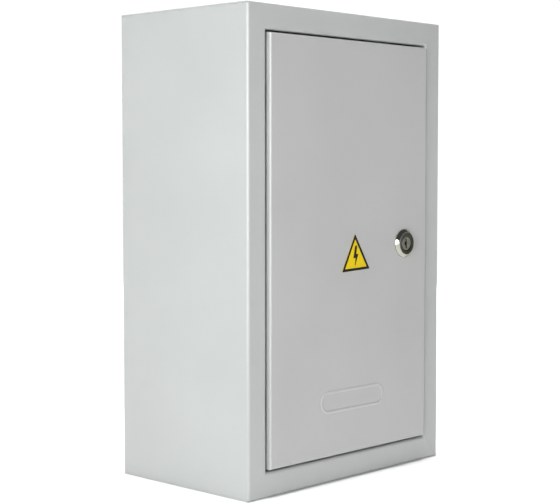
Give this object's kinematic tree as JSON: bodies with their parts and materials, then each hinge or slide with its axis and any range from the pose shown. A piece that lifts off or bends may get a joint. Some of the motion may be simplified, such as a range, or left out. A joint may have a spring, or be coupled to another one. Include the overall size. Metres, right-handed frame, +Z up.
{
  "type": "wall-mounted switchboard cabinet",
  "caption": "Folded sheet-steel wall cabinet with an inset lockable hinged door, mounting plate, device rails, terminal bars and cable entries.",
  "frame": {"origin": "centre of the wall-hole pattern, on the rear face of the body", "axes": "+X to the right as seen from the front, +Y to the rear, into the wall, +Z up; the door faces -Y"},
  "size_m": [0.25, 0.1614, 0.4],
  "materials": {
    "body_paint": "light grey textured powder coat",
    "door_paint": "light grey textured powder coat",
    "zinc": "zinc-plated steel",
    "galvanised": "hot-dip galvanised sheet with faint spangle",
    "fastener": "clear zinc-plated fasteners",
    "brass": "bright brass",
    "black_rubber": "matt black rubber",
    "blue_plastic": "moulded insulator",
    "green_plastic": "moulded insulator",
    "lead_sleeve": "green and yellow PVC sleeve",
    "chrome": "polished chrome plate",
    "lock_steel": "nickel-plated lock plug",
    "sign_yellow": "yellow vinyl",
    "sign_black": "black print"
  },
  "bodies": {
    "enclosure": {"body_wrap": "body_paint", "top_cap": "body_paint", "bottom_cap": "body_paint", "entry_plate": "body_paint", "entry_seal": "black_rubber", "entry_screws": "fastener", "entry_grommets": "black_rubber", "plate_studs": "zinc", "plate_spacers": "zinc", "mounting_plate": "galvanised", "plate_washers": "fastener", "plate_nuts": "fastener", "rails": "zinc", "rail_screws": "fastener", "neutral_feet": "blue_plastic", "neutral_bar": "brass", "earth_feet": "green_plastic", "earth_bar": "brass", "bar_screws": "fastener", "feet_screws": "fastener", "frame_hinges": "zinc", "door_stops": "zinc", "stop_pads": "black_rubber", "body_stud": "brass", "body_stud_nuts": "brass", "body_stud_washer": "fastener", "body_lug": "fastener", "bond_lead": "lead_sleeve"},
    "door": {"door_panel": "door_paint", "door_hinges": "zinc", "hinge_pins": "zinc", "lock_housing": "chrome", "lock_nut": "fastener", "sign_field": "sign_yellow", "sign_border": "sign_black", "sign_flash": "sign_black", "door_stud": "brass", "door_stud_nuts": "brass", "door_stud_washer": "fastener", "door_lug": "fastener"},
    "lock_cylinder": {"lock_plug": "lock_steel", "lock_cam": "fastener", "cam_washer": "fastener", "cam_screw": "fastener"}
  },
  "joints": [
    {"name": "door_hinge", "type": "hinge", "parent": "enclosure", "child": "door", "pos_m": [-0.0925, -0.1532, 0], "axis": [0, 0, -1], "range_deg": [0, 130], "deforming": ["bond_lead"]},
    {"name": "lock_turn", "type": "hinge", "parent": "door", "child": "lock_cylinder", "pos_m": [0.07, -0.158, 0.0012], "axis": [0, 1, 0], "range_deg": [0, 90]}
  ]
}
